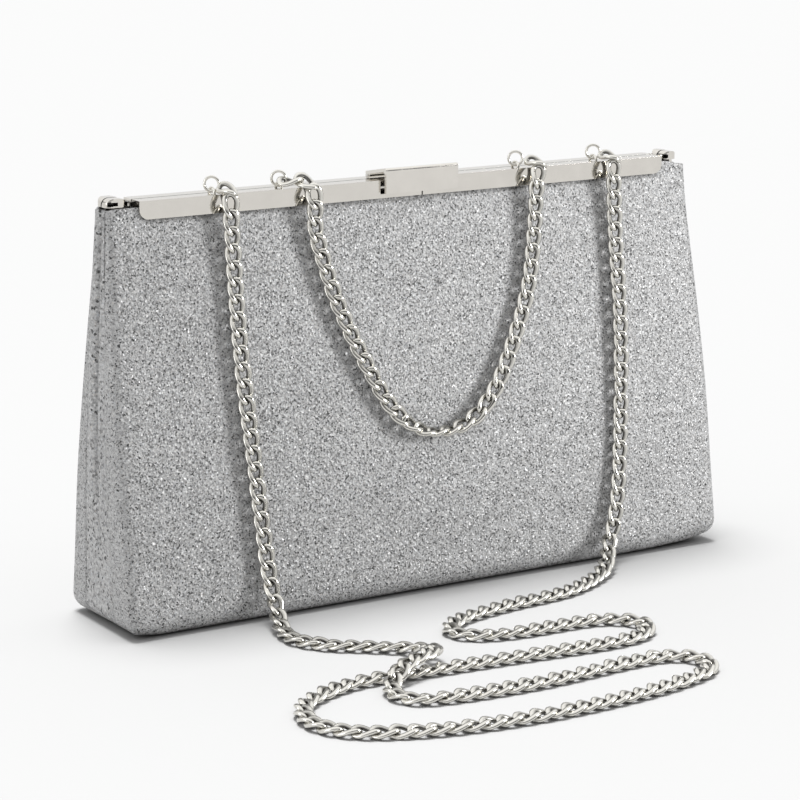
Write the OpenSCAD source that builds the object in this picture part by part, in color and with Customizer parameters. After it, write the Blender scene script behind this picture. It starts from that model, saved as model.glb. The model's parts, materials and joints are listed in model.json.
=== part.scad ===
// Structured evening bag with a metal frame, a lift clasp and two chain straps.
// X runs along the width, -Y is the front, +Z is up. The origin is the middle of the
// base, on the surface that the bag stands on. Millimetres.

/* [Bag] */
// Width of the bag at its base
bag_w = 248; // [230:1:260]
// Width of the bag under the frame
top_w = 238; // [234:1:244]
// Depth of the bag at its base
bag_d = 48; // [44:1:56]
// Height of the top of the frame's bars above the base
bag_h = 147.5; // [140:0.5:160]
// Height of the rounded base, where the upright panels start
base_h = 7; // [6:0.5:9]
// Radius of the base's rounded corners, seen from the front
base_r = 6; // [4:0.5:6]

/* [Cloth and board] */
// Thickness of the outer cloth with its backing
cloth_t = 0.9; // [0.6:0.1:1]
// Thickness of the stiffening boards
board_t = 1.6; // [1.2:0.1:1.6]
// Thickness of the lining
lining_t = 0.5; // [0.4:0.1:0.6]

/* [Frame] */
// Length of each bar
bar_len = 217.2; // [210:0.2:218]
// Height of each bar's face
bar_h = 6.4; // [6:0.1:8]
// Depth of one bar, front to back
bar_d = 5.7; // [5.6:0.1:6]
// Gap between the two closed bars
bar_gap = 0.6; // [0.4:0.1:0.8]
// Thickness of the bars' sheet metal
plate_t = 0.8; // [0.6:0.1:1]
// Height of the rivets that join the two frame halves
rivet_z = 93; // [88:1:98]
// Radius of the rivets
rivet_r = 1.5; // [1.2:0.1:1.6]

/* [Clasp] */
// Width of the lift flap
flap_w = 30; // [24:1:34]
// How far the flap's middle lies to the right of the bag's middle
flap_x = 1.5; // [0:0.5:3]
// Thickness of the flap's metal
flap_t = 1.2; // [1:0.1:1.2]

/* [Chains] */
// Distance of the shoulder chain's rings from the middle
shoulder_ring_x = 79.5; // [70:0.5:90]
// Half the distance between the handle chain's rings
handle_ring_x = 49.2; // [45:0.1:55]
// Radius of a jump ring, to the middle of its wire
ring_r = 2.5; // [2.4:0.1:2.6]
// Radius of the wire of the rings and lugs
wire_r = 0.5; // [0.4:0.05:0.5]
// Radius of the plain tube that stands for each chain, as heavy as the chain's links
chain_r = 1.5; // [1.4:0.05:1.95]

/* [Hidden] */
$fn = 48;
eps = 0.1;                              // cuts run this far past a surface
gap = 0.1;                              // between layers that lie on each other

// Bars: the front one spans bar_front to bar_inner in Y, the back one mirrors it
bar_inner = -bar_gap / 2;
bar_front = bar_inner - bar_d;
bar_z = bag_h - bar_h;                  // lower edge of the bars' faces
bar_end_r = 3.4;                        // rounded lower corners of the bars' faces
plug_len = 4;                           // solid end of a bar, which holds the neck

// Upright panels lean in from the base to the bars
panel_foot = base_h + 0.3;
panel_top = bar_z - 0.7;                // cloth and boards end just under the bars
lean = atan((bag_d / 2 + bar_front + plate_t + gap) / (bar_z - base_h));
panel_h = (panel_top - panel_foot) / cos(lean);
side_slope = (bag_w - top_w) / 2 / (bag_h - base_h);
board_inset = 7;                        // boards and linings stop before the rounded corners
base_board_end = 24;                    // the base's board stops short of the lifted corners
arm_room_x = 112.6;                     // boards and linings step in to clear the arms
arm_room_z = rivet_z - 8;

// Gussets: flat beside the panels, pinched to a shallow valley in the middle
valley_share = 0.35;                    // half of the middle share that folds in
valley_foot = 0.5;
valley_top = 1.5;
gusset_top = bag_h - 4.5;
gusset_t = 0.8;

// Frame ends: neck with a stop, domed cap over the cloth's corner, and side arm
cap_front = -4.5;
cap_back = bar_inner - 0.05;
cap_foot = bag_h - 1.8;
cap_top = bag_h + 1.2;
cap_r = 2.6;                            // roundness of a cap's corners
left_cap = [112.2, 119.9];              // caps' inner and outer ends, from the middle
right_cap = [110.6, 117.1];
left_slot = [115.8, 119.3];             // ends of the slots in the caps' faces
right_slot = [111.2, 112.8];
slot_z = cap_foot + 0.6;
slot_h = 1.2;
neck_d = 1.6;
neck_h = 1;
arm_y = -2.25;
arm_d = 2.8;
arm_t = 1.2;
inner_arm_x = 113.9;                    // front frame's arms
outer_arm_x = 115.3;                    // back frame's arms
eye_r = 3.4;
loose_r = rivet_r + 0.6;                // front arms turn loosely on the rivets
head_r = 2.8;
head_t = 0.7;

// Clasp: flap over both bars, hinged behind the back one
lip_y = -8.6;
lip_foot = bar_z + 1.8;
flap_top = bag_h + 4.4;
flap_slope = tan(10.5);
flap_back = 5.6;
flap_round = 1;
hinge_y = 7.6;
hinge_z = bag_h - 0.2;
knuckle_r = 1.5;
pin_r = 0.6;
tongue_w = 11.6;
knuckle_in = 6.2;
knuckle_out = 13;
notch_side = 0.8;                       // room beside the flap's lip
sill_h = 1.5;                           // what is left of the bar under the lip
slit_w = 0.5;
slit_x = 3;

// Lugs and rings on the front bar
lug_r = 2;
lug_y = -2.6;
handle_shift = -4.2;                    // the handle's rings lie left of the middle
ring_z = bag_h + 0.8 + ring_r;
ring_turn = 35;

// Middle of the shoulder chain: over the bar, down the front, in loose bends on the
// surface, and up the front to the other ring
shoulder_route = [
    [-77, -5.6, 150.3], [-76.7, -7.8, 149.6], [-76.4, -9.7, 147.4], [-76.3, -10.4, 144],
    [-76.3, -10.6, 139], [-76.2, -12, 122], [-76, -16, 92], [-74, -21, 55], [-72, -26, 20],
    [-72, -31, 8], [-75.5, -42, 2.5], [-76.5, -53.5, 2], [-70.5, -64, 2], [-59.5, -73, 2],
    [-49.5, -82.5, 2.5], [-47, -93, 4.5], [-54, -102, 7], [-66, -107, 6], [-75, -113, 2.5],
    [-77.5, -123, 2], [-68, -130.5, 2], [-33, -134, 2], [6, -132, 2], [21, -134, 2],
    [27, -142.5, 2], [20, -153, 2], [-8, -159.5, 2], [-47, -161, 2], [-82, -156, 2],
    [-105.5, -145.5, 2], [-114, -130, 2], [-106.5, -113, 2], [-84, -103.5, 2],
    [-59, -105, 2], [-28, -107.5, 2], [10, -111.5, 2], [27.5, -109, 2], [34, -98.5, 2],
    [23, -88, 2], [-8, -85.5, 2], [-23, -80.5, 2], [-26, -71.5, 2], [-16, -62.5, 2],
    [6, -57.5, 2], [35, -54, 2], [58, -42.5, 3], [70, -30, 9], [76, -26, 22], [80, -22, 46],
    [83, -17, 86], [83.5, -12, 120], [83.5, -10.6, 139], [83.5, -10.4, 144],
    [83.3, -9.7, 147.4], [82.9, -7.8, 149.6], [82.3, -5.6, 150.3]
];
// Middle of the handle chain: it hangs in a loop over the front
handle_route = [
    [-49.4, -5.3, 150.3], [-46.6, -7, 149.9], [-44.6, -8.8, 148.6], [-43.7, -10, 146.3],
    [-43.5, -10.5, 142.5], [-43.4, -10.6, 138], [-43, -11.2, 130], [-37, -14, 108],
    [-28, -17, 87], [-18, -19.5, 69], [-7, -21, 60], [5, -21, 58], [17, -20.5, 62],
    [27, -19, 72], [36, -16.5, 88], [43.5, -14, 106], [47.5, -11.5, 126], [48.8, -10.6, 138],
    [49.3, -10.5, 142.5], [50.1, -10, 146.3], [50.5, -8.8, 148.6], [50.2, -7, 149.9],
    [49, -5.3, 150.3]
];

function half_w(z) = bag_w / 2 - side_slope * max(0, z - base_h);

// ---- helpers ----

// Stand children up along the front panel's slope, outer face at y = 0
module on_front() {
    translate([0, -bag_d / 2, base_h]) rotate([-lean, 0, 0]) children();
}

module on_back() {
    mirror([0, 1, 0]) on_front() children();
}

// Extrude a front view outline back from y = y0
module from_front(y0, depth) {
    translate([0, y0 + depth, 0]) rotate([90, 0, 0]) linear_extrude(depth) children();
}

// Extrude a side view outline (y, z) along X from x = x0
module from_side(x0, length) {
    translate([x0, 0, 0]) rotate([90, 0, 90]) linear_extrude(length) children();
}

module both_sides() {
    children();
    mirror([1, 0, 0]) children();
}

// Rectangle standing on y = 0 with its two lower corners rounded
module round_foot(w, h, r) {
    intersection() {
        translate([-w / 2, 0]) square([w, h]);
        union() {
            translate([-w / 2 + r, 0]) square([w - 2 * r, h]);
            translate([-w / 2, r]) square([w, h]);
            for (side = [-1, 1]) translate([side * (w / 2 - r), r]) circle(r);
        }
    }
}

module soft_rectangle(w, h, r) {
    square([w - 2 * r, h], center = true);
    square([w, h - 2 * r], center = true);
    for (x = [-1, 1], y = [-1, 1]) translate([x * (w / 2 - r), y * (h / 2 - r)]) circle(r);
}

// Base shape, rounded from the front and from the side
module base_shape(inset, foot, top) {
    w = bag_w - 2 * inset;
    d = bag_d - 2 * inset;
    h = top - foot;
    r = base_r - inset;
    translate([0, 0, foot]) intersection() {
        from_front(-d / 2, d) round_foot(w, h, r);
        from_side(-w / 2, w) round_foot(d, h, r);
    }
}

// ---- base ----

module bottom_cover() {
    color("silver") difference() {
        base_shape(0, 0, base_h);
        base_shape(cloth_t, cloth_t, base_h + eps);
    }
}

module bottom_board() {
    color("tan") translate([0, 0, cloth_t + gap + board_t / 2])
        cube([bag_w - 2 * base_board_end, bag_d - 14, board_t], center = true);
}

module bottom_lining() {
    color("gainsboro") translate([0, 0, cloth_t + 2 * gap + board_t + lining_t / 2])
        cube([bag_w - 2 * board_inset, bag_d - 2 * board_inset, lining_t], center = true);
}

// ---- gussets ----

// Section of a gusset at height z, as points from the front to the back and round again
function gusset_section(z, depth, valley) =
    let (
        x = half_w(z) - gap,
        fold = depth * valley_share,
        outer = [[x, -depth], [x, -fold], [x - valley, 0], [x, fold], [x, depth]],
        inner = [for (k = [4:-1:0]) [outer[k][0] - gusset_t, outer[k][1]]]
    )
    [for (p = concat(outer, inner)) [p[0], p[1], z]];

function panel_inside(z) =
    bag_d / 2 - (cloth_t + gap) / cos(lean) - (z - base_h) * tan(lean);

module gusset() {
    low = gusset_section(panel_foot, panel_inside(panel_foot), valley_foot);
    high = gusset_section(gusset_top, panel_inside(gusset_top), valley_top);
    n = len(low);
    polyhedron(
        points = concat(low, high),
        faces = concat(
            [for (k = [0:3]) each [[k, k + 1, n - 2 - k], [k, n - 2 - k, n - 1 - k]]],
            [for (k = [0:3]) each
                [[n + k, 2 * n - 2 - k, n + k + 1], [n + k, 2 * n - 1 - k, 2 * n - 2 - k]]],
            [for (k = [0:n - 1]) let (m = (k + 1) % n)
                each [[k, n + k, m], [m, n + k, n + m]]]
        )
    );
}

module right_gusset() {
    color("silver") gusset();
}

module left_gusset() {
    color("silver") mirror([1, 0, 0]) gusset();
}

// ---- upright panels ----

module cover_outline(inset) {
    low = panel_foot - base_h;
    polygon([
        [-half_w(panel_foot) + inset, low], [half_w(panel_foot) - inset, low],
        [half_w(panel_top) - inset, low + panel_h], [-half_w(panel_top) + inset, low + panel_h]
    ]);
}

// Outline of a board or lining, cut back at its upper corners beside the frame's arms
module stiffener_outline() {
    difference() {
        cover_outline(board_inset);
        both_sides() translate([arm_room_x, arm_room_z]) square([20, panel_h]);
    }
}

module panel_layer(y0, thickness) {
    translate([0, y0, 0]) from_front(0, thickness) children();
}

module cover() {
    panel_layer(0, cloth_t) cover_outline(0);
}

module board() {
    panel_layer(cloth_t + gap, board_t) stiffener_outline();
}

module lining() {
    panel_layer(cloth_t + board_t + 2 * gap, lining_t) stiffener_outline();
}

module front_cover() {
    color("silver") on_front() cover();
}

module front_board() {
    color("tan") on_front() board();
}

module front_lining() {
    color("gainsboro") on_front() lining();
}

module back_cover() {
    color("silver") on_back() cover();
}

module back_board() {
    color("tan") on_back() board();
}

module back_lining() {
    color("gainsboro") on_back() lining();
}

module slip_pocket() {
    color("gainsboro") on_back()
        panel_layer(cloth_t + board_t + lining_t + 3 * gap, lining_t)
            translate([-55, 28]) square([110, 62]);
}

// ---- frame ----

// One bar: face, top and inner wall, open below for the cloth's edge
module bar() {
    intersection() {
        from_side(-bar_len / 2, bar_len) difference() {
            translate([bar_front, bar_z]) square([bar_d, bar_h]);
            translate([bar_front + plate_t, bar_z - eps])
                square([bar_d - 2 * plate_t, bar_h - plate_t + eps]);
        }
        from_front(bar_front - eps, bar_d + 2 * eps) translate([0, bar_z])
            round_foot(bar_len, bar_h, bar_end_r);
    }
    both_sides() translate([bar_len / 2 - plug_len - 1.5, bar_front, bag_h - 3.6])
        cube([plug_len, bar_d, 3]);
}

// Cap at a right-hand end, rounded from the front and from above, with a slot in its face
module cap(ends, slot) {
    difference() {
        intersection() {
            from_front(cap_front, cap_back - cap_front) translate([0, cap_foot])
                cap_outline(ends, cap_top - cap_foot);
            translate([0, 0, cap_foot]) linear_extrude(cap_top - cap_foot) mirror([0, 1, 0])
                translate([0, -cap_back]) cap_outline(ends, cap_back - cap_front);
        }
        translate([slot[0], cap_front - eps, slot_z]) cube([slot[1] - slot[0], 2.2, slot_h]);
    }
}

// Rectangle between two ends on y = 0, with both upper corners rounded
module cap_outline(ends, h) {
    translate([ends[0], 0]) square([ends[1] - ends[0], h - cap_r]);
    translate([ends[0] + cap_r, 0]) square([ends[1] - ends[0] - 2 * cap_r, h]);
    for (x = [ends[0] + cap_r, ends[1] - cap_r]) translate([x, h - cap_r]) circle(cap_r);
}

// Neck with its stop, and the cap it holds, at a right-hand end
module neck_and_cap(ends, slot) {
    translate([bar_len / 2 - plug_len, cap_back - neck_d, cap_foot + 0.2])
        cube([ends[0] + 0.5 - bar_len / 2 + plug_len, neck_d, neck_h]);
    translate([ends[0] - 1, cap_back - neck_d - 1.7, cap_foot + 0.2])
        cube([0.7, 1.9, neck_h + 0.5]);
    cap(ends, slot);
}

// Side arm at the right-hand end, from the cap down to the rivet
module arm(arm_x, hole_r) {
    from_side(arm_x, arm_t) difference() {
        union() {
            polygon([
                [arm_y - arm_d / 2, cap_foot + 0.4], [arm_y + arm_d / 2, cap_foot + 0.4],
                [2, rivet_z], [-2, rivet_z]
            ]);
            translate([0, rivet_z]) circle(eye_r);
        }
        translate([0, rivet_z]) circle(hole_r);
    }
}

module frame_ends(arm_x, hole_r) {
    neck_and_cap(right_cap, right_slot);
    mirror([1, 0, 0]) neck_and_cap(left_cap, left_slot);
    both_sides() arm(arm_x, hole_r);
}

// Room for the flap's lip, through the whole front bar, with a solid sill below
module lip_notch() {
    w = flap_w + 2 * notch_side;
    translate([flap_x - w / 2, bar_front - eps, bar_z + sill_h])
        cube([w, bar_d + 2 * eps, bar_h]);
}

module front_frame() {
    color("gainsboro") difference() {
        union() {
            bar();
            frame_ends(inner_arm_x, loose_r);
            translate([flap_x - flap_w / 2 - 2, bar_front + plate_t / 2, bar_z])
                cube([flap_w + 4, bar_d - plate_t, sill_h]);
        }
        lip_notch();
        translate([slit_x - slit_w / 2, bar_front - eps, bar_z - eps])
            cube([slit_w, 1, sill_h + 2 * eps]);
    }
}

module back_frame() {
    color("gainsboro") mirror([0, 1, 0]) {
        bar();
        frame_ends(outer_arm_x, rivet_r);
    }
}

// Rivet through the right-hand arms, headed at both ends
module rivet() {
    shank_x = inner_arm_x - gap;
    shank_end = outer_arm_x + arm_t;
    translate([0, 0, rivet_z]) rotate([0, 90, 0]) {
        translate([0, 0, shank_x]) cylinder(r = rivet_r, h = shank_end - shank_x);
        translate([0, 0, shank_x - head_t]) cylinder(r = head_r, h = head_t);
        translate([0, 0, shank_end]) cylinder(r = head_r, h = head_t);
    }
}

module right_rivet() {
    color("silver") rivet();
}

module left_rivet() {
    color("silver") mirror([1, 0, 0]) rivet();
}

// ---- clasp ----

function flap_surface(y) = flap_top - (y - lip_y - flap_round) * flap_slope;

module flap_profile() {
    shoulder = lip_y + flap_round;
    polygon([
        [lip_y, lip_foot], [lip_y, flap_top - flap_round],
        [shoulder, flap_top - flap_round], [shoulder, flap_top],
        [flap_back, flap_surface(flap_back)], [flap_back, flap_surface(flap_back) - flap_t],
        [lip_y + flap_t, flap_surface(lip_y + flap_t) - flap_t], [lip_y + flap_t, lip_foot]
    ]);
    translate([shoulder, flap_top - flap_round]) circle(flap_round);
}

module clasp_flap() {
    color("whitesmoke") {
        difference() {
            union() {
                from_side(flap_x - flap_w / 2, flap_w) flap_profile();
                from_side(flap_x - tongue_w / 2, tongue_w) {
                    polygon([
                        [flap_back - 0.5, flap_surface(flap_back) - flap_t + 0.2],
                        [flap_back - 0.5, flap_surface(flap_back)],
                        [hinge_y, hinge_z + knuckle_r], [hinge_y, hinge_z]
                    ]);
                    translate([hinge_y, hinge_z]) circle(knuckle_r);
                }
            }
            from_side(flap_x - tongue_w / 2 - eps, tongue_w + 2 * eps)
                translate([hinge_y, hinge_z]) circle(pin_r + 0.05);
        }
    }
}

module clasp_hinge_base() {
    color("gainsboro") {
        from_side(flap_x - knuckle_out, 2 * knuckle_out)
            translate([-bar_front, bar_z + 1.2]) square([0.7, 3]);
        for (x = [-knuckle_out, knuckle_in])
            from_side(flap_x + x, knuckle_out - knuckle_in) difference() {
                union() {
                    translate([-bar_front, bar_z + 1.2])
                        square([hinge_y + bar_front, hinge_z - bar_z - 1.2]);
                    translate([hinge_y, hinge_z]) circle(knuckle_r);
                }
                translate([hinge_y, hinge_z]) circle(pin_r);
            }
    }
}

module clasp_hinge_pin() {
    color("silver") translate([flap_x - knuckle_out - 0.4, hinge_y, hinge_z])
        rotate([0, 90, 0]) cylinder(r = pin_r, h = 2 * knuckle_out + 0.8);
}

// Leaf spring on the back bar, under the flap
module clasp_spring() {
    color("silver") translate([flap_x - 4, 0.8, bag_h]) cube([8, 4, 0.4]);
}

// ---- lugs, rings and chains ----

module lug(x) {
    color("silver") translate([x, lug_y, bag_h]) rotate([90, 0, 90])
        rotate_extrude(angle = 180) translate([lug_r, 0]) circle(wire_r);
}

module ring(x, turn) {
    color("silver") translate([x, lug_y, ring_z]) rotate([90, 0, turn])
        rotate_extrude() translate([ring_r, 0]) circle(wire_r);
}

module left_shoulder_lug() {
    lug(-shoulder_ring_x);
}

module right_shoulder_lug() {
    lug(shoulder_ring_x);
}

module left_handle_lug() {
    lug(handle_shift - handle_ring_x);
}

module right_handle_lug() {
    lug(handle_shift + handle_ring_x);
}

module left_shoulder_ring() {
    ring(-shoulder_ring_x, -ring_turn);
}

module right_shoulder_ring() {
    ring(shoulder_ring_x, -ring_turn);
}

module left_handle_ring() {
    ring(handle_shift - handle_ring_x, -ring_turn);
}

module right_handle_ring() {
    ring(handle_shift + handle_ring_x, -ring_turn);
}

// Tube of 8 sides along a route: each ring of points stands square to the route there
function unit(v) = v / norm(v);

function heading(route, k) =
    unit(route[min(k + 1, len(route) - 1)] - route[max(k - 1, 0)]);

// A sideways direction that never flips: the chain never runs along this axis
function sideways(t) = unit(cross(t, abs(t[2]) > 0.8 ? [0, 1, 0] : [0, 0, 1]));

function turned(first, t, k) =
    let (side = first - t * (first * t)) unit(side);

function sides(route, k, last) =
    k == len(route) ? [] :
    let (side = k == 0 ? sideways(heading(route, 0)) : turned(last, heading(route, k), k))
    concat([side], sides(route, k + 1, side));

module tube(route, r) {
    n = 8;
    across = sides(route, 0, [0, 0, 0]);
    points = [for (k = [0:len(route) - 1]) let (t = heading(route, k), u = across[k], v = cross(t, u))
        for (s = [0:n - 1]) route[k] + r * (cos(s * 360 / n) * u + sin(s * 360 / n) * v)];
    last = (len(route) - 1) * n;
    walls = [for (k = [0:len(route) - 2], s = [0:n - 1]) let (a = k * n + s, b = k * n + (s + 1) % n)
        each [[a, b + n, b], [a, a + n, b + n]]];
    polyhedron(points = points, faces = concat(
        walls, [[for (s = [0:n - 1]) s]], [[for (s = [n - 1:-1:0]) last + s]]
    ));
}

module shoulder_chain() {
    color("silver") tube(shoulder_route, chain_r);
}

module handle_chain() {
    color("silver") tube(handle_route, chain_r);
}

bottom_cover();
bottom_board();
bottom_lining();
left_gusset();
right_gusset();
front_cover();
front_board();
front_lining();
back_cover();
back_board();
back_lining();
slip_pocket();
front_frame();
back_frame();
left_rivet();
right_rivet();
clasp_flap();
clasp_hinge_base();
clasp_hinge_pin();
clasp_spring();
left_shoulder_lug();
right_shoulder_lug();
left_handle_lug();
right_handle_lug();
left_shoulder_ring();
right_shoulder_ring();
left_handle_ring();
right_handle_ring();
shoulder_chain();
handle_chain();
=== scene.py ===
import json
import math

import bmesh
import bpy
import numpy as np
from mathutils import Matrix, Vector


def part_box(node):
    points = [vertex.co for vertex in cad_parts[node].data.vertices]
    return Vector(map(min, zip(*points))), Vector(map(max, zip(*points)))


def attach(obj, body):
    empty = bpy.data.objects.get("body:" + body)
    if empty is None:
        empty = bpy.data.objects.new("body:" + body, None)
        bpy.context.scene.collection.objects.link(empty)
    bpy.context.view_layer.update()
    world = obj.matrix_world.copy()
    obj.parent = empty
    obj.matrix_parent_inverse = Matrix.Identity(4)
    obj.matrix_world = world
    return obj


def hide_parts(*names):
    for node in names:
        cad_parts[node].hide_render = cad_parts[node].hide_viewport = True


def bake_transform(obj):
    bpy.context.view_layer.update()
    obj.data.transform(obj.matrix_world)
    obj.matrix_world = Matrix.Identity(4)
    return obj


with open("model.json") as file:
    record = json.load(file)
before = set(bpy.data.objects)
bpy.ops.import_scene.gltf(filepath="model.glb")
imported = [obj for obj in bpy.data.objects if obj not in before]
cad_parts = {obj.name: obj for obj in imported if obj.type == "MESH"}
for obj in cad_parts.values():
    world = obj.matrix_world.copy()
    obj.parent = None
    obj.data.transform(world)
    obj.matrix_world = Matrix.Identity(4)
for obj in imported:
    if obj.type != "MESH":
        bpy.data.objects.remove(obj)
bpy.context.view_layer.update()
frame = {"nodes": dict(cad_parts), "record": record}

MM = 0.001
nodes = frame["nodes"]


# ---- sizes, from the frame ----

base_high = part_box("bottom_cover")[1]
bar_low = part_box("front_frame")[0]

HALF_WIDTH = base_high.x                       # of the bag, at its base
HALF_DEPTH = base_high.y
BASE_TOP = base_high.z                         # where the panels start to lean in
BAR_FRONT = bar_low.y
BAR_FOOT = 141.1 * MM
BAR_END = 108.6 * MM                           # half a bar's length
SIDE_SLOPE = 5 / 140.5                         # how the sides lean in
DEPTH_TOP = 5.15 * MM                          # half depth of the cloth at the bars
FACE_SLOPE = (HALF_DEPTH + BAR_FRONT + 0.9 * MM) / (BAR_FOOT - BASE_TOP)
LEAN = math.atan(FACE_SLOPE)
CLOTH = 0.9 * MM
LINING_DEPTH = 3.2 * MM                        # from a panel's face to its lining's face
ARM_ROOM = 112.4 * MM                          # linings stay inside the frame's arms

CHAIN_PITCH = 5.8 * MM
CHAIN_WIDTH = 6.5 * MM
LINK_WIRE = (1.02 * MM, 0.80 * MM)             # half a link's flat wire, across and through
LINK_TWIST = math.radians(-42)                 # turn of a link from its middle to its end
LINK_ROLL = math.radians(5)                    # usual unevenness from link to link
LINK_SQUARE = 0.86                             # 1 is an oval link, less is squarer
END_LINK_LIE = 0.30                            # the end links rest on the bar: how much of
                                               # the route's slope they keep

CAMERA_PLACE = (-0.520, -0.843, 0.288)
CAMERA_TILT = math.radians(77.34)              # from straight down
CAMERA_TURN = math.radians(-31.54)
CAMERA_LENS = 126                              # mm, on a sensor 36 mm wide

SKY_DARK = 0.04                                # brightness of the studio's darkest side
SKY_BRIGHT = 1.28
SKY_LOW = 0.72                                 # how much of it is left near the horizon
FLOOR_SHADE = 0.34
OVERHEAD_POWER = 5.6                           # soft light from above, for the table top
OVERHEAD_PLACE = (-0.02, 0.19, 1.2)
OVERHEAD_SPREAD = math.radians(25)
KEY_POWER = 6.3                                # from the right, on the bag alone
KEY_PLACE = (0.66, -0.63, 0.31)
KEY_SIZE = 0.32
FILL_POWER = 1.5                               # from the left, on the bag alone
FILL_PLACE = (-0.90, -0.05, 0.20)
FILL_SIZE = 0.50
BAG_MIDDLE = (0, 0, 0.07)
FLOOR_REACH = 30.0


def smooth(value, low, high):
    """0 below low, 1 above high, and a soft step between them."""
    t = np.clip((value - low) / (high - low), 0, 1)
    return t * t * (3 - 2 * t)


# ---- node materials ----

class Nodes:
    """A material's node tree, with short calls that add and join nodes."""

    def __init__(self, name):
        self.material = bpy.data.materials.new(name)
        self.material.use_nodes = True
        self.tree = self.material.node_tree
        self.shader = self.tree.nodes["Principled BSDF"]

    def add(self, kind, sockets=None, **settings):
        node = self.tree.nodes.new("ShaderNode" + kind)
        for key, value in settings.items():
            setattr(node, key, value)
        for key, value in (sockets or {}).items():
            self.put(node.inputs[key], value)
        return node

    def put(self, socket, value):
        if isinstance(value, bpy.types.NodeSocket):
            self.tree.links.new(value, socket)
        else:
            socket.default_value = value

    def set(self, **sockets):
        for key, value in sockets.items():
            self.put(self.shader.inputs[key.replace("_", " ")], value)

    def place(self, scale=(1, 1, 1), turn=(0, 0, 0)):
        where = self.add("TexCoord").outputs["Object"]
        mapping = self.add("Mapping", {"Vector": where, "Scale": scale, "Rotation": turn})
        return mapping.outputs["Vector"]

    def noise(self, where, scale, detail=3.0, rough=0.5):
        node = self.add("TexNoise", {"Vector": where, "Scale": scale, "Detail": detail,
                                     "Roughness": rough})
        return node.outputs["Fac"]

    def ramp(self, value, stops):
        node = self.add("ValToRGB", {"Fac": value})
        ramp = node.color_ramp
        while len(ramp.elements) < len(stops):
            ramp.elements.new(0.5)
        for element, (place, shade) in zip(ramp.elements, stops):
            element.position = place
            element.color = shade if len(shade) == 4 else (*shade, 1)
        return node.outputs["Color"]

    def math(self, operation, a, b=0.0):
        node = self.add("Math", operation=operation)
        self.put(node.inputs[0], a)
        self.put(node.inputs[1], b)
        return node.outputs[0]

    def mix(self, share, a, b, blend="MIX"):
        node = self.add("Mix", data_type="RGBA", blend_type=blend)
        self.put(node.inputs["Factor"], share)
        self.put(node.inputs[6], a)
        self.put(node.inputs[7], b)
        return node.outputs[2]

    def bump(self, height, strength, distance, normal=None):
        node = self.add("Bump", {"Height": height, "Strength": strength, "Distance": distance})
        if normal is not None:
            self.put(node.inputs["Normal"], normal)
        return node.outputs["Normal"]


def grey(value):
    return (value, value, value, 1)


GRAINS = 1900.0                                # grains to a metre of glitter cloth
FINE_GRAINS = 3300.0
WEAVE_RIBS = 185.0
GUSSET_COARSER = 1.6                           # the gussets' grains look larger


def glitter_cloth(name="glitter_cloth", coarse=1.0):
    """Silver cloth: a fine slanting weave under grains, each with its own shade and tilt."""
    m = Nodes(name)
    where = m.place()
    slanting = m.place(turn=(0.30, math.radians(45), 0.35))
    grains = m.add("TexVoronoi", {"Vector": slanting, "Scale": GRAINS / coarse,
                                  "Randomness": 0.80})
    fine = m.add("TexVoronoi", {"Vector": where, "Scale": FINE_GRAINS / coarse,
                                "Randomness": 1.0})
    grain = m.add("SeparateColor", {"Color": grains.outputs["Color"]}).outputs
    speck = m.add("SeparateColor", {"Color": fine.outputs["Color"]}).outputs
    shade = m.ramp(grain["Red"], [(0.0, grey(0.03)), (0.06, grey(0.04)), (0.11, grey(0.22)),
                                  (0.50, grey(0.38)), (0.94, grey(0.50)), (1.0, grey(0.62))])
    small = m.ramp(speck["Green"], [(0.0, grey(0.12)), (0.4, grey(0.34)), (1.0, grey(0.60))])
    shade = m.mix(0.40, shade, small)
    pits = m.ramp(grain["Green"], [(0.0, grey(0.10)), (0.045, grey(0.14)), (0.075, grey(1.0))])
    shade = m.mix(1.0, shade, pits, "MULTIPLY")
    tint = m.ramp(speck["Blue"], [(0.0, (1.0, 0.94, 0.88)), (0.08, (1.0, 1.0, 1.0)),
                                  (0.92, (1.0, 1.0, 1.0)), (1.0, (0.88, 0.93, 1.0))])
    shade = m.mix(1.0, shade, tint, "MULTIPLY")
    ribs, cross = [m.add("TexWave", {"Vector": slanting, "Scale": WEAVE_RIBS,
                                     "Distortion": 0.8, "Detail": 1.0},
                         bands_direction=way).outputs["Fac"] for way in ("X", "Z")]
    weave = m.math("MULTIPLY", ribs, cross)
    shade = m.mix(1.0, shade, m.ramp(weave, [(0.0, grey(0.88)), (0.6, grey(1.0))]), "MULTIPLY")
    patches = m.ramp(m.noise(where, 28.0, 4.0, 0.6), [(0.3, grey(0.94)), (0.7, grey(1.0))])
    shade = m.mix(1.0, shade, patches, "MULTIPLY")
    tilt = m.add("VectorMath", {0: grains.outputs["Color"], 1: (0.5, 0.5, 0.5)},
                 operation="SUBTRACT").outputs[0]
    tilt = m.add("VectorMath", {0: tilt, "Scale": 0.30}, operation="SCALE").outputs[0]
    normal = m.add("NewGeometry").outputs["Normal"]
    tilted = m.add("VectorMath", {0: normal, 1: tilt}, operation="ADD").outputs[0]
    tilted = m.add("VectorMath", {0: tilted}, operation="NORMALIZE").outputs[0]
    normal = m.bump(weave, 0.30, 0.0003, tilted)
    normal = m.bump(grains.outputs["Distance"], 0.30, 0.0003, normal)
    flake = m.ramp(grain["Blue"], [(0.60, grey(0.0)), (0.85, grey(0.35))])
    rough = m.ramp(speck["Red"], [(0.0, grey(0.30)), (1.0, grey(0.58))])
    m.set(Base_Color=shade, Metallic=flake, Roughness=rough, Normal=normal)
    return m.material


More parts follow.
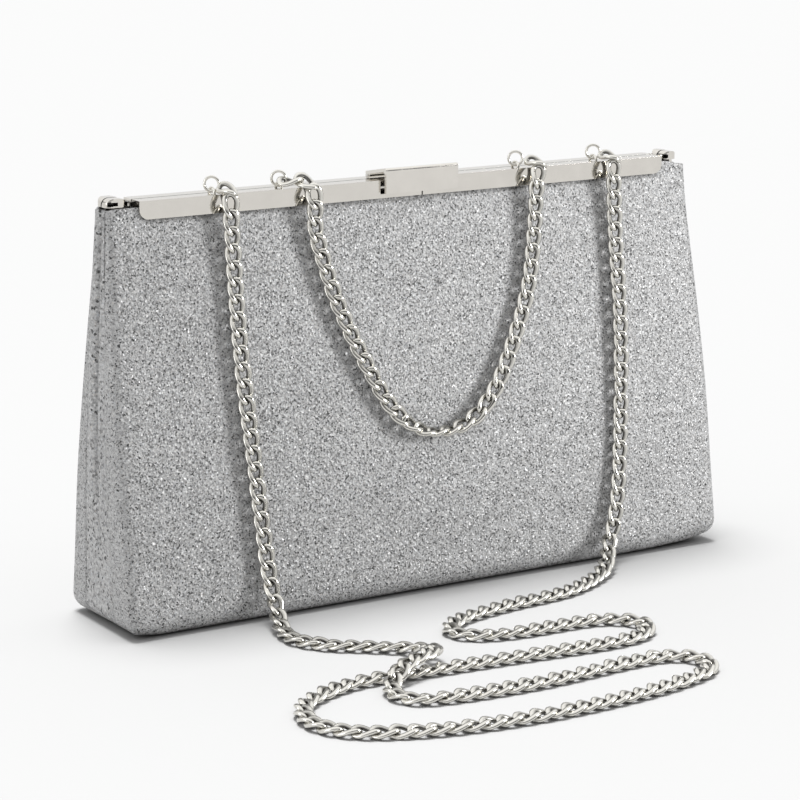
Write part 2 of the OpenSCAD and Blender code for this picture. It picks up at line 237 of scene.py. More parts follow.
def satin():
    """Smooth lining cloth with a fine weave and a soft sheen."""
    m = Nodes("satin")
    where = m.place()
    shade = m.ramp(m.noise(where, 60.0, 4.0), [(0.3, (0.50, 0.50, 0.52)),
                                                 (0.7, (0.60, 0.60, 0.62))])
    across = m.add("TexWave", {"Vector": where, "Scale": 900.0, "Distortion": 0.6},
                   bands_direction="X")
    along = m.add("TexWave", {"Vector": where, "Scale": 700.0, "Distortion": 0.6},
                  bands_direction="Z")
    weave = m.math("ADD", across.outputs["Fac"], along.outputs["Fac"])
    normal = m.bump(weave, 0.15, 0.0001)
    normal = m.bump(m.noise(where, 90.0, 3.0), 0.3, 0.0006, normal)
    m.set(Base_Color=shade, Roughness=0.42, Sheen_Weight=0.35, Sheen_Roughness=0.4,
          Normal=normal)
    return m.material


def pressed_board():
    """Grey pressed board with short paper fibres."""
    m = Nodes("pressed_board")
    where = m.place(scale=(1, 1, 3))
    fibres = m.noise(where, 1600.0, 6.0, 0.7)
    shade = m.ramp(fibres, [(0.3, (0.36, 0.33, 0.29)), (0.7, (0.56, 0.52, 0.46))])
    m.set(Base_Color=shade, Roughness=0.85, Normal=m.bump(fibres, 0.4, 0.0002))
    return m.material


def polished(name, shade, rough, scratch, painted_shade_level=0.3):
    """Bright plated metal: faint haze, hairline scratches, and painted shade in crevices."""
    m = Nodes(name)
    where = m.place()
    haze = m.noise(where, 160.0, 5.0, 0.6)
    hair = m.noise(m.place(scale=(40, 900, 900)), 1.0, 2.0)
    base = m.ramp(haze, [(0.25, tuple(0.93 * c for c in shade)), (0.75, shade)])
    level = m.ramp(haze, [(0.3, grey(rough)), (0.8, grey(rough * 1.9))])
    # Painted shade: where this attribute is 1, the colour turns dark to stand in for shade in
    # crevices, slots and the links' insides.
    painted_shade = m.add("Attribute", attribute_name="painted_shade").outputs["Fac"]
    painted_shade_colour = tuple(painted_shade_level * c for c in shade)
    base = m.mix(painted_shade, base, (*painted_shade_colour, 1))
    normal = m.bump(hair, scratch, 0.00004)
    m.set(Base_Color=base, Metallic=1.0, Roughness=level, Normal=normal)
    return m.material


def make_materials():
    """All materials, by slot. The gussets' is extra: the glitter cloth with coarser grains."""
    return {
        "glitter_cloth": glitter_cloth(),
        "gusset_cloth": glitter_cloth("gusset_cloth", GUSSET_COARSER),
        "satin_lining": satin(),
        "board": pressed_board(),
        # The last number, 0.3 when not given, is the share of the colour left where shade is
        # painted into crevices.
        "frame_metal": polished("frame_metal", (0.67, 0.645, 0.60), 0.07, 0.10, 0.03),
        "flap_metal": polished("flap_metal", (0.69, 0.665, 0.62), 0.07, 0.10),
        "rivet_metal": polished("rivet_metal", (0.62, 0.61, 0.59), 0.28, 0.25),
        "spring_steel": polished("spring_steel", (0.52, 0.52, 0.52), 0.30, 0.30),
        "chain_metal": polished("chain_metal", (0.70, 0.685, 0.64), 0.12, 0.12, 0.28),
    }


# ---- camera, light and floor ----

def make_camera():
    data = bpy.data.cameras.new("camera")
    data.lens = CAMERA_LENS
    data.sensor_width = 36
    camera = bpy.data.objects.new("camera", data)
    camera.location = CAMERA_PLACE
    camera.rotation_euler = (CAMERA_TILT, 0, CAMERA_TURN)
    bpy.context.scene.collection.objects.link(camera)
    bpy.context.scene.camera = camera


def aim(obj, place, target):
    """Put a light at a place, pointing at a target."""
    obj.location = place
    obj.rotation_euler = (Vector(target) - Vector(place)).to_track_quat("-Z", "Y").to_euler()
    bpy.context.scene.collection.objects.link(obj)


def area_light(name, place, size, power):
    """A square soft light that points at the middle of the bag."""
    data = bpy.data.lights.new(name, "AREA")
    data.shape = "RECTANGLE"
    data.size = size
    data.size_y = size
    data.energy = power
    light = bpy.data.objects.new(name, data)
    aim(light, place, BAG_MIDDLE)
    return light


def make_world():
    """White studio: bright overhead, softer behind the bag, dark low down in front of it."""
    world = bpy.data.worlds.new("studio")
    bpy.context.scene.world = world
    bpy.context.scene.view_settings.view_transform = "Standard"
    world.use_nodes = True
    tree = world.node_tree

    def add(kind, **values):
        node = tree.nodes.new("ShaderNode" + kind)
        for key, value in values.items():
            node.inputs[key.replace("_", " ")].default_value = value
        return node

    def band(value, low, high, dim, bright):
        node = add("MapRange", From_Min=low, From_Max=high, To_Min=dim, To_Max=bright)
        node.interpolation_type = "SMOOTHSTEP"
        tree.links.new(value, node.inputs["Value"])
        return node.outputs["Result"]

    split = add("SeparateXYZ")
    tree.links.new(add("TexCoord").outputs["Generated"], split.inputs[0])
    rise = add("Math")
    rise.operation = "MULTIPLY_ADD"
    tree.links.new(split.outputs["Z"], rise.inputs[0])
    rise.inputs[1].default_value = 1.3
    tree.links.new(split.outputs["Y"], rise.inputs[2])
    product = add("Math")
    product.operation = "MULTIPLY"
    tree.links.new(band(rise.outputs[0], -0.85, 0.75, SKY_DARK, SKY_BRIGHT), product.inputs[0])
    tree.links.new(band(split.outputs["Z"], 0.15, 0.75, SKY_LOW, 1.0), product.inputs[1])
    sky = tree.nodes["Background"]
    tree.links.new(product.outputs[0], sky.inputs["Strength"])
    sky.inputs["Color"].default_value = (1, 1, 1, 1)


def make_floor():
    """A wide pale table top."""
    mesh = bpy.data.meshes.new("floor")
    corners = [(-FLOOR_REACH, -FLOOR_REACH, 0), (FLOOR_REACH, -FLOOR_REACH, 0),
               (FLOOR_REACH, FLOOR_REACH, 0), (-FLOOR_REACH, FLOOR_REACH, 0)]
    mesh.from_pydata(corners, [], [(0, 1, 2, 3)])
    floor = bpy.data.objects.new("floor", mesh)
    bpy.context.scene.collection.objects.link(floor)
    m = Nodes("floor")
    m.set(Base_Color=grey(FLOOR_SHADE), Roughness=0.9, Specular_IOR_Level=0.0)
    mesh.materials.append(m.material)
    return floor


def only_for(light, obj, state):
    """Keep a light to one object ("INCLUDE"), or off it ("EXCLUDE")."""
    group = bpy.data.collections.new(light.name + "_receiver")
    group.objects.link(obj)
    group.collection_objects[0].light_linking.link_state = state
    light.light_linking.receiver_collection = group


def make_lights(floor):
    """Soft lights from the right and left for the bag, and one from above for the table."""
    key = area_light("key", KEY_PLACE, KEY_SIZE, KEY_POWER)
    only_for(key, floor, "EXCLUDE")
    fill = area_light("fill", FILL_PLACE, FILL_SIZE, FILL_POWER)
    only_for(fill, floor, "EXCLUDE")
    data = bpy.data.lights.new("overhead", "SUN")
    data.energy = OVERHEAD_POWER
    data.angle = OVERHEAD_SPREAD
    overhead = bpy.data.objects.new("overhead", data)
    aim(overhead, OVERHEAD_PLACE, (0, 0, 0))
    only_for(overhead, floor, "INCLUDE")


# ---- mesh helpers ----

def add_mesh(name, points, faces, slots, face_slots=None):
    """A smooth-shaded piece. face_slots says which of the slots each face has."""
    mesh = bpy.data.meshes.new(name)
    mesh.from_pydata([tuple(p) for p in points], [], faces)
    for slot in slots:
        mesh.materials.append(materials[slot])
    if face_slots is not None:
        mesh.polygons.foreach_set("material_index", face_slots)
    mesh.polygons.foreach_set("use_smooth", [True] * len(mesh.polygons))
    mesh.update()
    obj = bpy.data.objects.new(name, mesh)
    bpy.context.scene.collection.objects.link(obj)
    return obj


def grid_faces(rows, columns, start=0, flip=False):
    """Faces of a grid of points, row by column, whose first point has the number start."""
    faces = []
    for r in range(rows - 1):
        for c in range(columns - 1):
            a = start + r * columns + c
            quad = (a, a + 1, a + columns + 1, a + columns)
            faces.append(quad[::-1] if flip else quad)
    return faces


def grid_normals(grid):
    """Unit normals of a grid of points, row by column."""
    across = np.gradient(grid, axis=1)
    up = np.gradient(grid, axis=0)
    normal = np.cross(across, up)
    return normal / np.maximum(np.linalg.norm(normal, axis=2, keepdims=True), 1e-12)


def cloth_piece(name, grid, thickness, slots):
    """A closed sheet: the grid is its outer face, and the inner one lies thickness behind."""
    rows, columns = grid.shape[:2]
    inner = grid - thickness * grid_normals(grid)
    points = np.concatenate([grid.reshape(-1, 3), inner.reshape(-1, 3)])
    count = rows * columns
    outside = grid_faces(rows, columns)
    inside = grid_faces(rows, columns, count, flip=True)
    rim = list(range(columns))
    rim += [r * columns + columns - 1 for r in range(1, rows)]
    rim += [(rows - 1) * columns + c for c in range(columns - 2, -1, -1)]
    rim += [r * columns for r in range(rows - 2, 0, -1)]
    edge = []
    for k, a in enumerate(rim):
        b = rim[(k + 1) % len(rim)]
        edge.append((b, a, a + count, b + count))
    marks = [0] * len(outside) + [len(slots) - 1] * len(inside) + [0] * len(edge)
    return add_mesh(name, points, outside + inside + edge, slots, marks)


# ---- chains ----

# Middle of the shoulder chain, in metres: over the bar, down the front, in loose bends on
# the surface, and up the front to the other ring
SHOULDER_ROUTE = [
    (-0.077, -0.0056, 0.1503), (-0.0767, -0.0078, 0.1496), (-0.0764, -0.0097, 0.1474),
    (-0.0763, -0.0104, 0.144), (-0.0763, -0.0106, 0.139), (-0.0762, -0.012, 0.122),
    (-0.076, -0.016, 0.092), (-0.074, -0.021, 0.055), (-0.072, -0.026, 0.02),
    (-0.072, -0.031, 0.008), (-0.0755, -0.042, 0.0025), (-0.0765, -0.0535, 0.002),
    (-0.0705, -0.064, 0.002), (-0.0595, -0.073, 0.002), (-0.0495, -0.0825, 0.0025),
    (-0.047, -0.093, 0.0045), (-0.054, -0.102, 0.007), (-0.066, -0.107, 0.006),
    (-0.075, -0.113, 0.0025), (-0.0775, -0.123, 0.002), (-0.068, -0.1305, 0.002),
    (-0.033, -0.134, 0.002), (0.006, -0.132, 0.002), (0.021, -0.134, 0.002),
    (0.027, -0.1425, 0.002), (0.02, -0.153, 0.002), (-0.008, -0.1595, 0.002),
    (-0.047, -0.161, 0.002), (-0.082, -0.156, 0.002), (-0.1055, -0.1455, 0.002),
    (-0.114, -0.13, 0.002), (-0.1065, -0.113, 0.002), (-0.084, -0.1035, 0.002),
    (-0.059, -0.105, 0.002), (-0.028, -0.1075, 0.002), (0.01, -0.1115, 0.002),
    (0.0275, -0.109, 0.002), (0.034, -0.0985, 0.002), (0.023, -0.088, 0.002),
    (-0.008, -0.0855, 0.002), (-0.023, -0.0805, 0.002), (-0.026, -0.0715, 0.002),
    (-0.016, -0.0625, 0.002), (0.006, -0.0575, 0.002), (0.035, -0.054, 0.002),
    (0.058, -0.0425, 0.003), (0.07, -0.03, 0.009), (0.076, -0.026, 0.022), (0.08, -0.022, 0.046),
    (0.083, -0.017, 0.086), (0.0835, -0.012, 0.12), (0.0835, -0.0106, 0.139),
    (0.0835, -0.0104, 0.144), (0.0833, -0.0097, 0.1474), (0.0829, -0.0078, 0.1496),
    (0.0823, -0.0056, 0.1503),
]
# Middle of the handle chain: it hangs in a loop over the front
HANDLE_ROUTE = [
    (-0.0532, -0.0052, 0.1500), (-0.0498, -0.0056, 0.1499),
    (-0.0466, -0.007, 0.1499), (-0.0446, -0.0088, 0.1486),
    (-0.0437, -0.010, 0.1463), (-0.0435, -0.0105, 0.1425), (-0.0434, -0.0106, 0.138),
    (-0.043, -0.0112, 0.130), (-0.037, -0.014, 0.108), (-0.028, -0.017, 0.087),
    (-0.018, -0.0195, 0.069), (-0.007, -0.021, 0.060), (0.005, -0.021, 0.058),
    (0.017, -0.0205, 0.062), (0.027, -0.019, 0.072), (0.036, -0.0165, 0.088),
    (0.0435, -0.014, 0.106), (0.0475, -0.0115, 0.126), (0.0488, -0.0106, 0.138),
    (0.0493, -0.0105, 0.1425), (0.0501, -0.010, 0.1463), (0.0505, -0.0088, 0.1486),
    (0.0502, -0.007, 0.1499), (0.049, -0.0053, 0.1503),
]


def smooth_route(route, steps=12):
    """A smooth curve through a route's points."""
    p = [np.array(q, float) for q in route]
    p = [2 * p[0] - p[1]] + p + [2 * p[-1] - p[-2]]
    out = []
    for k in range(1, len(p) - 2):
        a, b, c, d = p[k - 1:k + 3]
        for t in np.linspace(0, 1, steps, endpoint=False):
            out.append(0.5 * (2 * b + (c - a) * t + (2 * a - 5 * b + 4 * c - d) * t ** 2
                              + (3 * b - a - 3 * c + d) * t ** 3))
    out.append(p[-2])
    return np.array(out)


def distances(line):
    """How far along a line each of its points is."""
    return np.concatenate([[0], np.cumsum(np.linalg.norm(np.diff(line, axis=0), axis=1))])


def link_frame(line, along, place, pitch, lie):
    """Middle, forward, sideways and upward directions of a link that lies flat. lie is the
    share of the route's slope that the link keeps."""
    def at(s):
        return np.array([np.interp(s, along, line[:, k]) for k in range(3)])
    ahead = at(place + pitch / 2) - at(place - pitch / 2)
    ahead[2] *= lie
    ahead /= np.linalg.norm(ahead)
    level = 1 - abs(ahead[2])
    up = np.array([0, -(1 - level), level + 0.08])
    up -= ahead * (up @ ahead)
    up /= np.linalg.norm(up)
    return at(place), ahead, np.cross(up, ahead), up


def link_loop(steps=28):
    """The middle of one curb link's wire: an oval, twisted end to end."""
    half_length = CHAIN_PITCH / 2 + LINK_WIRE[0]
    half_width = CHAIN_WIDTH / 2 - LINK_WIRE[0]
    t = np.linspace(0, 2 * math.pi, steps, endpoint=False)
    c, s = np.cos(t), np.sin(t)
    along = half_length * np.sign(c) * np.abs(c) ** LINK_SQUARE
    across = half_width * np.sign(s) * np.abs(s) ** LINK_SQUARE
    turn = LINK_TWIST * along / half_length
    return np.stack([along, across * np.cos(turn), across * np.sin(turn)], axis=1)


def wire_along(loop, size, sides=10):
    """Points of a flat closed wire that follows a closed loop, and how much each faces into the
    loop, which sets its painted shade.
    """
    ahead = np.roll(loop, -1, axis=0) - np.roll(loop, 1, axis=0)
    ahead /= np.linalg.norm(ahead, axis=1, keepdims=True)
    out = loop - loop.mean(axis=0)
    out -= ahead * np.sum(out * ahead, axis=1, keepdims=True)
    out /= np.linalg.norm(out, axis=1, keepdims=True)
    side = np.cross(ahead, out)
    turn = np.linspace(0, 2 * math.pi, sides, endpoint=False)
    ring = [loop + size[0] * math.cos(a) * out + size[1] * math.sin(a) * side for a in turn]
    # Painted shade mask: 1 on the side of the wire that faces the link's hole, where shade
    # falls, 0 on the outside.
    inner = np.tile(smooth(-np.cos(turn), -0.1, 0.9), (len(loop), 1))
    return np.stack(ring, axis=1), inner


def closed_faces(rows, columns, start):
    """Faces of a ring-shaped grid, whose first points have the number start."""
    faces = []
    for r in range(rows):
        for c in range(columns):
            a = start + r * columns + c
            b = start + r * columns + (c + 1) % columns
            d = start + ((r + 1) % rows) * columns + c
            e = start + ((r + 1) % rows) * columns + (c + 1) % columns
            faces.append((a, b, e, d))
    return faces


def chain(name, route, seed):
    """A chain of curb links along a route."""
    line = smooth_route(route)
    along = distances(line)
    count = int(round(along[-1] / CHAIN_PITCH))
    pitch = along[-1] / count
    link, inner = wire_along(link_loop(), LINK_WIRE)
    rows, columns = link.shape[:2]
    flat = link.reshape(-1, 3)
    wobble = np.random.RandomState(seed)
    points, faces = [], []
    for k in range(count):
        lie = END_LINK_LIE if k in (0, count - 1) else 1.0
        middle, ahead, side, up = link_frame(line, along, (k + 0.5) * pitch, pitch, lie)
        roll = LINK_ROLL * wobble.randn()
        side, up = (math.cos(roll) * side + math.sin(roll) * up,
                    math.cos(roll) * up - math.sin(roll) * side)
        faces += closed_faces(rows, columns, len(flat) * k)
        points.append(middle + flat @ np.array([ahead, side, up]))
    obj = add_mesh(name, np.concatenate(points), faces, ["chain_metal"])
    # Painted shade on the insides of the links, passed to the chain metal's colour.
    painted_shade = obj.data.attributes.new("painted_shade", "FLOAT", "POINT")
    painted_shade.data.foreach_set("value", np.tile(inner.ravel(), count))
    return obj, line, float(along[-1])


def make_chains():
    shoulder, line, length = chain("shoulder_chain_links", SHOULDER_ROUTE, 3)
    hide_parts("shoulder_chain")
    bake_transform(shoulder)
    handle, line, length = chain("handle_chain_links", HANDLE_ROUTE, 5)
    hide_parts("handle_chain")
    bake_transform(handle)


# ---- cloth shell ----

WRAP = 0.45                                    # share of the half depth that a panel wraps
ROLL = 6 * MM                                  # radius of the bottom edges
UNDER = 7 * MM                                 # how far a panel goes in under the bag
CLOTH_TOP = 145.3 * MM                         # the cloth's edge beside the bars


def half_width(z):
    """Half the bag's width at a height. The sides bow out a little."""
    share = np.clip((z - 8 * MM) / (140 * MM), 0, 1)
    bow = 0.9 * smooth(z, 8 * MM, 60 * MM) + 1.1 * np.sin(math.pi * share)
    return HALF_WIDTH - SIDE_SLOPE * np.maximum(0, z - BASE_TOP) + bow * MM


def half_depth(z):
    """Half the bag's depth at a height: the faces lean in up to the bars."""
    return np.maximum(HALF_DEPTH - FACE_SLOPE * np.maximum(0, z - BASE_TOP), DEPTH_TOP)


def corner_radius(z):
    """Radius of the upright corners, which get tighter as the bag gets thinner."""
    return np.minimum(3.5 * MM, 0.45 * half_depth(z))


def edge_lift(x, y):
    """How far the base's ends stand off the surface: a little more in front, and more at
    the right-hand end."""
    ends = smooth(np.abs(x), HALF_WIDTH - 14 * MM, HALF_WIDTH)
    back = smooth(y, -0.5 * HALF_DEPTH, HALF_DEPTH)
    right = smooth(x, HALF_WIDTH - 34 * MM, HALF_WIDTH)
    return (ends * (1.5 - 0.6 * back) + 1.3 * right) * MM


def shell_rows(tops):
    """Insets and heights of a panel's rows, from its lip under the bag to its upper edge.
    The heights come as columns, because the upper edge isn't straight."""
    rows = [(UNDER, 0.3 * MM), (ROLL, 0.0)]
    for turn in np.linspace(90, 0, 8)[1:]:
        a = math.radians(turn)
        rows.append((ROLL * (1 - math.cos(a)), ROLL * (1 - math.sin(a))))
    insets = [inset for inset, z in rows]
    heights = [np.full_like(tops, z) for inset, z in rows]
    low = rows[-1][1]
    shares = np.concatenate([np.linspace(0, 0.9, 46)[1:], np.linspace(0.9, 0.965, 9)[1:],
                             np.linspace(0.965, 1, 13)[1:]])
    for share in shares:
        insets.append(0.0)
        heights.append(low + (tops - low) * share)
    return insets, heights


def upper_edge(x):
    """Upper edge of the cloth: behind the bar's face, and higher beside the bar's ends. It
    sinks a little at the right-hand end."""
    beside = smooth(np.abs(x), BAR_END - 2.0 * MM, BAR_END + 0.2 * MM)
    sink = 1.3 * MM * smooth(x, 111 * MM, 117 * MM)
    corner = 0.6 * MM * smooth(np.abs(x), 117.5 * MM, 121 * MM)
    return BAR_FOOT + 0.4 * MM + beside * (CLOTH_TOP - BAR_FOOT - 0.4 * MM) - sink - corner


def front_curve(width, depth, radius):
    """Plan of a front panel from its left to its right seam, for one row."""
    side = np.linspace(-WRAP * depth, -(depth - radius), 5)[:-1]
    arc = np.radians(np.linspace(0, 90, 9))
    by_bar_end = np.linspace(0.90, 0.955, 22)
    places = np.concatenate([np.linspace(-1, 1, 125)[1:-1], by_bar_end, -by_bar_end])
    flat = (width - radius) * np.unique(places)
    x = np.concatenate([np.full_like(side, -width),
                        -(width - radius) - radius * np.cos(arc), flat,
                        (width - radius) + radius * np.sin(arc),
                        np.full_like(side, width)])
    y = np.concatenate([side, -(depth - radius) - radius * np.sin(arc),
                        np.full_like(flat, -depth),
                        -(depth - radius) - radius * np.cos(arc), side[::-1]])
    return x, y


def puff(x, z, seed):
    """How far the cloth stands out from its board. It dips in where it meets the bar."""
    across = 1 - (x / HALF_WIDTH) ** 4
    low = smooth(z, 8 * MM, 45 * MM)
    high = 1 - smooth(z, 120 * MM, BAR_FOOT)
    under_bar = np.exp(-((z - 134 * MM) / (5 * MM)) ** 2)
    waves = np.sin(x * 61 + seed) * np.sin(z * 47 + 2 * seed) + np.sin(x * 23 - z * 31 + seed)
    dip = np.exp(-((z - BAR_FOOT) / (1.1 * MM)) ** 2)
    dip *= 1 - smooth(np.abs(x), BAR_END - 3 * MM, BAR_END)
    return (across * (low * high * (0.8 + 0.25 * waves) + 0.35 * under_bar) - 0.8 * dip) * MM


def panel_grid(seed, turn):
    """Rows of x, y, z and how far the cloth stands out, for a panel. turn is -1 for the
    back panel, whose right and left change places."""
    top_x = front_curve(half_width(CLOTH_TOP), DEPTH_TOP, corner_radius(CLOTH_TOP))[0]
    rows = []
    for inset, z in zip(*shell_rows(upper_edge(turn * top_x))):
        x = np.zeros_like(z)
        y = np.zeros_like(z)
        for value in np.unique(z):
            at = z == value
            radius = max(corner_radius(value) - inset, 0.8 * MM)
            all_x, all_y = front_curve(half_width(value) - inset, half_depth(value) - inset,
                                       radius)
            x[at], y[at] = all_x[at], all_y[at]
        front = smooth(-y, 0.5 * half_depth(z), half_depth(z))
        rows.append([x, y, z, puff(x, z, seed) * front])
    return np.array(rows)


def lifted(x, y, z):
    """Points of a sheet, raised at the base's corners. The right-hand side bulges a bit."""
    fade = 1 - smooth(z, 5 * MM, 45 * MM)
    bulge = 1.4 * MM * smooth(x, 95 * MM, HALF_WIDTH) * (1 - smooth(z, 60 * MM, 145 * MM))
    return np.stack([x + bulge, y, z + edge_lift(x, y) * fade], axis=-1)


def make_panels():
    """The front and back covers, with their wraps round the sides and lips underneath."""
    for name, seed, turn in (("front", 0.7, 1), ("back", 2.9, -1)):
        x, y, z, out = np.moveaxis(panel_grid(seed, turn), 1, 0)
        grid = lifted(turn * x, turn * (y - out), z)
        skin = cloth_piece(name + "_skin", grid, CLOTH, ["glitter_cloth"])
        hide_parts(name + "_cover")
        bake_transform(skin)


def make_bottom():
    """The bag's underside, between the lips of the panels and gussets."""
    x = np.linspace(-(HALF_WIDTH - UNDER) - 0.3 * MM, HALF_WIDTH - UNDER + 0.3 * MM, 60)
    y = np.linspace(HALF_DEPTH - UNDER + 0.3 * MM, -(HALF_DEPTH - UNDER) - 0.3 * MM, 14)
    grid_x, grid_y = np.meshgrid(x, y)
    grid = np.stack([grid_x, grid_y, 0.35 * MM + edge_lift(grid_x, grid_y)], axis=2)
    skin = cloth_piece("bottom_skin", grid, 0.8 * MM, ["glitter_cloth"])
    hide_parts("bottom_cover")
    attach(skin, "base")


def gusset_curve(z, inset):
    """Plan of the front half of the left gusset, from the valley to the panel's seam."""
    depth = half_depth(z) - inset
    width = half_width(z) - inset
    share = np.concatenate([np.linspace(0, 0.35, 12)[:-1], np.linspace(0.35, 1, 12)])
    overlap = 1.2 * MM
    y = -share * (WRAP * depth + overlap)
    deep = 1.8 * MM * smooth(z, 10 * MM, 70 * MM) * (1 - 0.3 * smooth(z, 120 * MM, 142 * MM))
    valley = deep * np.exp(-(y / (1.3 * MM)) ** 2)
    lip = 0.6 * MM * np.exp(-((y + 3.4 * MM) / (2.0 * MM)) ** 2) * smooth(z, 20 * MM, 80 * MM)
    tuck = 0.25 * MM * smooth(share, 0.8, 1.0)
    return -(width - valley + lip - tuck), y


def make_gussets():
    """Each gusset folds in a valley, and is made in a front and a back half."""
    for side, sx in (("left", 1), ("right", -1)):
        for half, sy in (("front", 1), ("back", -1)):
            rows = []
            for inset, z in zip(*shell_rows(upper_edge(np.full(1, -sx * HALF_WIDTH)))):
                x, y = gusset_curve(float(z[0]), inset)
                rows.append(lifted(sx * x, sy * y, np.full_like(x, z[0])))
            grid = np.array(rows)
            if sx * sy < 0:
                grid = grid[:, ::-1]
            skin = cloth_piece(f"{side}_gusset_{half}_half", grid, 0.8 * MM,
                               ["gusset_cloth", "satin_lining"])
            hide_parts(side + "_gusset")
            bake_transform(skin)


# ---- lining and pocket ----

def on_slope(x, depth, height):
    """Points at a depth behind the front panel's face, at a height along its slope."""
    y = -HALF_DEPTH + depth * math.cos(LEAN) + height * math.sin(LEAN)
    z = BASE_TOP - depth * math.sin(LEAN) + height * math.cos(LEAN)
    return np.stack([x, y, z], axis=-1)


def ripples(x, height, seed):
    """Loose satin: shallow upright ripples, between 0 and 1."""
    wave = np.sin(x * 180 + 2 * np.sin(height * 24 + seed)) * np.sin(x * 67 + seed)
    return 0.5 + 0.5 * wave * np.sin(height * 20 + 0.4)


def make_linings():
    """Satin on the inside of both panels, narrower above so as to clear the frame's arms."""
    for name, seed, turn in (("front", 0.4, 1), ("back", 1.9, -1)):
        share, height = np.meshgrid(np.linspace(1, -1, 150), np.linspace(-1.5, 137, 70) * MM)
        z = BASE_TOP + height * math.cos(LEAN)
        room = smooth(z, 72 * MM, 90 * MM)
        wide = (1 - room) * (half_width(z) - 2.4 * MM) + room * ARM_ROOM
        x = share * wide
        loose = smooth(height, 0, 12 * MM) * (1 - smooth(height, 118 * MM, 132 * MM))
        depth = LINING_DEPTH + 0.45 * MM * loose * ripples(x, height, seed)
        grid = on_slope(x, depth, height) * (turn, turn, 1)
        satin_sheet = cloth_piece(name + "_lining_satin", grid, 0.4 * MM, ["satin_lining"])
        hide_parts(name + "_lining")
        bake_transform(satin_sheet)


def make_bottom_lining():
    """Satin in the bottom of the bag, turned up along its edges."""
    x, y = np.meshgrid(np.linspace(-1, 1, 120) * (HALF_WIDTH - 6.5 * MM),
                       np.linspace(-20.4, 20.4, 40) * MM)
    rise = 3.2 * MM * smooth(np.abs(y), 16.5 * MM, 20.4 * MM)
    rise += 2.6 * MM * smooth(np.abs(x), HALF_WIDTH - 13 * MM, HALF_WIDTH - 6.5 * MM)
    z = 3.25 * MM + rise + 0.3 * MM * ripples(x, y * 3, 1.2)
    satin_sheet = cloth_piece("bottom_lining_satin", np.stack([x, y, z], axis=-1), 0.4 * MM,
                              ["satin_lining"])
    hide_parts("bottom_lining")
    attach(satin_sheet, "base")


def make_pocket():
    """A flat pocket on the back lining, with a folded hem along its mouth and topstitching."""
    half, low, high = 55 * MM, 28 * MM, 90 * MM
    hem = 7 * MM
    across = np.linspace(-1, 1, 60)
    up = np.unique(np.concatenate([np.linspace(low, high - hem, 30),
                                   np.linspace(high - hem - 0.8 * MM, high, 16)]))
    share, height = np.meshgrid(across, up)

    def surface(share, height):
        full = (1 - share ** 4) * smooth(height, low, low + 20 * MM)
        mouth = (1 - share ** 4) * smooth(height, high - 25 * MM, high)
        fold = smooth(height, high - hem - 0.6 * MM, high - hem + 0.2 * MM)
        depth = LINING_DEPTH + (0.95 + 0.7 * full + 1.3 * mouth + 0.35 * fold) * MM
        return on_slope(share * half, depth, height) * (1, -1, 1)

    pocket = cloth_piece("slip_pocket_satin", surface(share, height), 0.5 * MM,
                         ["satin_lining"])
    edge = 1.6 * MM
    side = 1 - edge / half
    top, foot, seam = high - edge, low + edge, high - hem + 1.2 * MM
    lines = [[(-side, top), (-side, foot)], [(-side, foot), (side, foot)],
             [(side, foot), (side, top)], [(-side, seam), (side, seam)]]
    points, faces = [], []
    for (u0, h0), (u1, h1) in lines:
        count = int(round(math.hypot((u1 - u0) * half, h1 - h0) / (2.6 * MM)))
        for k in range(count):
            ends = [surface(np.array(u0 + (u1 - u0) * t), np.array(h0 + (h1 - h0) * t))
                    for t in ((k + 0.12) / count, (k + 0.88) / count)]
            stitch(points, faces, ends[0], ends[1])
    thread = add_mesh("slip_pocket_stitches", points, faces, ["satin_lining"])
    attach(thread, "back_panel")
    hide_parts("slip_pocket")
    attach(pocket, "back_panel")


def stitch(points, faces, start, end, radius=0.17 * MM):
    """One stitch of thread: a short pod that sinks in at both ends."""
    ahead = end - start
    ahead /= np.linalg.norm(ahead)
    out = np.array([0, -math.cos(LEAN), -math.sin(LEAN)])
    side = np.cross(ahead, out)
    first = len(points)
    steps = [(0.0, 0.3), (0.2, 0.9), (0.5, 1.0), (0.8, 0.9), (1.0, 0.3)]
    for t, size in steps:
        middle = start + (end - start) * t + out * radius * (1.6 * size - 0.6)
        for a in np.linspace(0, 2 * math.pi, 6, endpoint=False):
            points.append(middle + radius * size * (math.cos(a) * side + math.sin(a) * out))
    for r in range(len(steps) - 1):
        for c in range(6):
            a, b = first + 6 * r + c, first + 6 * r + (c + 1) % 6
            faces.append((a, b, b + 6, a + 6))
    faces.append(tuple(first + c for c in range(5, -1, -1)))
    faces.append(tuple(first + 6 * (len(steps) - 1) + c for c in range(6)))


# ---- metal ----

CAP_BEVEL = 0.75 * MM
CAP_START = 110.4 * MM                         # the frame's caps are past here, and above it
CAP_FOOT = 147.6 * MM
SHARP = math.radians(32)                       # edges that turn by more get a bevel
FLAT = math.radians(0.8)                       # faces that turn by less become one


def is_on_cap(edge):
    return all(abs(v.co.x) > CAP_START and v.co.z > CAP_FOOT for v in edge.verts)


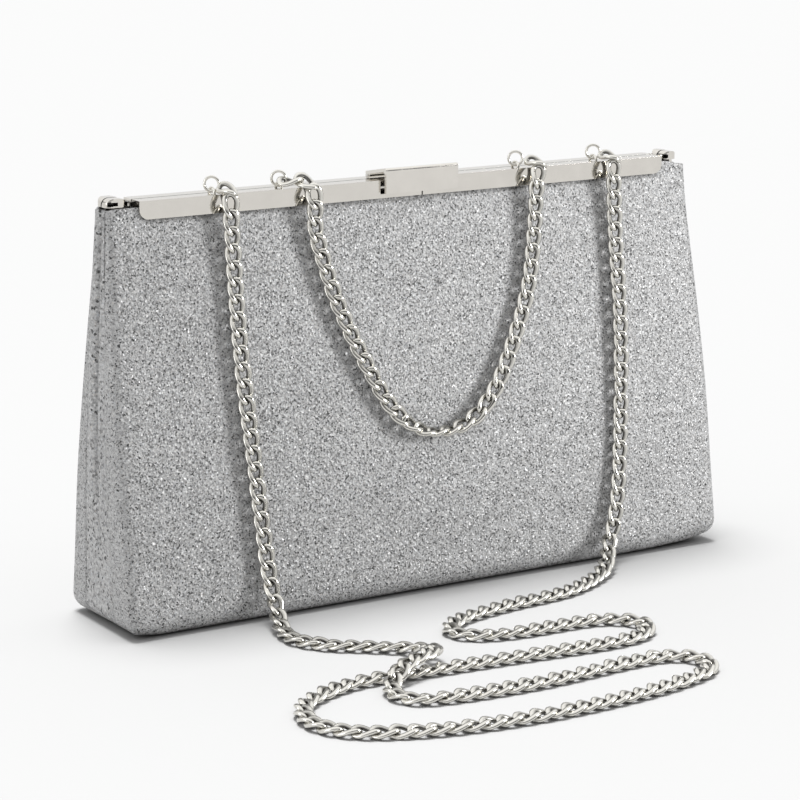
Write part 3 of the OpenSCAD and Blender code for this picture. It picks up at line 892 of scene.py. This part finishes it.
def sharp_copy(node, name, bevel):
    """A copy of a metal node with soft edges, which catch the light. The frame's caps, which
    stand above the bars at their ends, are rounder."""
    mesh = bmesh.new()
    mesh.from_mesh(nodes[node].data)
    bmesh.ops.remove_doubles(mesh, verts=mesh.verts, dist=0.00001)
    bmesh.ops.dissolve_limit(mesh, angle_limit=FLAT, verts=mesh.verts, edges=mesh.edges)
    for on_cap, offset in ((False, bevel), (True, CAP_BEVEL)):
        edges = [e for e in mesh.edges if len(e.link_faces) == 2
                 and e.calc_face_angle(0) > SHARP and is_on_cap(e) == on_cap]
        if edges:
            bmesh.ops.bevel(mesh, geom=edges, offset=offset, segments=3, profile=0.5,
                            affect="EDGES", clamp_overlap=True)
    data = bpy.data.meshes.new(name)
    mesh.to_mesh(data)
    mesh.free()
    data.polygons.foreach_set("use_smooth", [True] * len(data.polygons))
    if node in ("front_frame", "back_frame"):
        paint_crevice_shade(data)
    obj = bpy.data.objects.new(name, data)
    bpy.context.scene.collection.objects.link(obj)
    weight = obj.modifiers.new("weight", "WEIGHTED_NORMAL")
    weight.keep_sharp = True
    return obj


def paint_crevice_shade(data):
    """Paint shade on the necks beside the bars' ends, the insides of the caps' slots, and the
    slit.
    """
    place = np.empty(len(data.vertices) * 3)
    data.vertices.foreach_get("co", place)
    x, y, z = place.reshape(-1, 3).T / MM
    across, depth = np.abs(x), np.abs(y)
    in_front = y < 0
    neck = in_front & (across > 108.7) & (across < np.where(x > 0, 110.5, 112.1)) & (depth < 3.6)
    slot = in_front & (across > 111.0) & (across < 119.5) & (depth < 4.3) & (z > 146.1)
    slit = (x > 2.6) & (x < 3.4) & (depth < 5.7) & (z < 143)
    # Painted shade: these points get a near black colour that stands in for the shade inside
    # these recesses.
    dark = ((neck | slot) & (z > 145.5) & (z < 147.6)) | slit
    attribute = data.attributes.new("painted_shade", "FLOAT", "POINT")
    attribute.data.foreach_set("value", dark.astype(float))


# Each metal node's material slot, body and bevel
METAL = {
    "front_frame": ("frame_metal", "front_frame", 0.28 * MM),
    "back_frame": ("frame_metal", "back_frame", 0.28 * MM),
    "clasp_flap": ("flap_metal", "clasp_flap", 0.50 * MM),
    "clasp_hinge_base": ("frame_metal", "back_frame", 0.12 * MM),
    "clasp_hinge_pin": ("rivet_metal", "back_frame", 0.12 * MM),
    "clasp_spring": ("spring_steel", "back_frame", 0.08 * MM),
    "left_rivet": ("rivet_metal", "back_frame", 0.20 * MM),
    "right_rivet": ("rivet_metal", "back_frame", 0.20 * MM),
}
for place in ("left_shoulder", "right_shoulder", "left_handle", "right_handle"):
    METAL[place + "_lug"] = ("chain_metal", "front_frame", 0.05 * MM)
    METAL[place + "_ring"] = ("chain_metal", place + "_ring", 0.05 * MM)


def make_metal():
    """Each metal node's polished copy, which stands for it."""
    for node, (slot, body, bevel) in METAL.items():
        piece = sharp_copy(node, node + "_polished", bevel)
        piece.data.materials.clear()
        piece.data.materials.append(materials[slot])
        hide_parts(node)
        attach(piece, body)


def finish_cad_nodes():
    """Every node that stays shown gets its own material."""
    for item in frame["record"]["subparts"]:
        node = nodes[item["node"]]
        node.data.materials.clear()
        node.data.materials.append(materials[item["material_slot"]])


materials = make_materials()
make_camera()
make_chains()
make_world()
make_lights(make_floor())
finish_cad_nodes()
make_panels()
make_bottom()
make_gussets()
make_linings()
make_bottom_lining()
make_pocket()
make_metal()
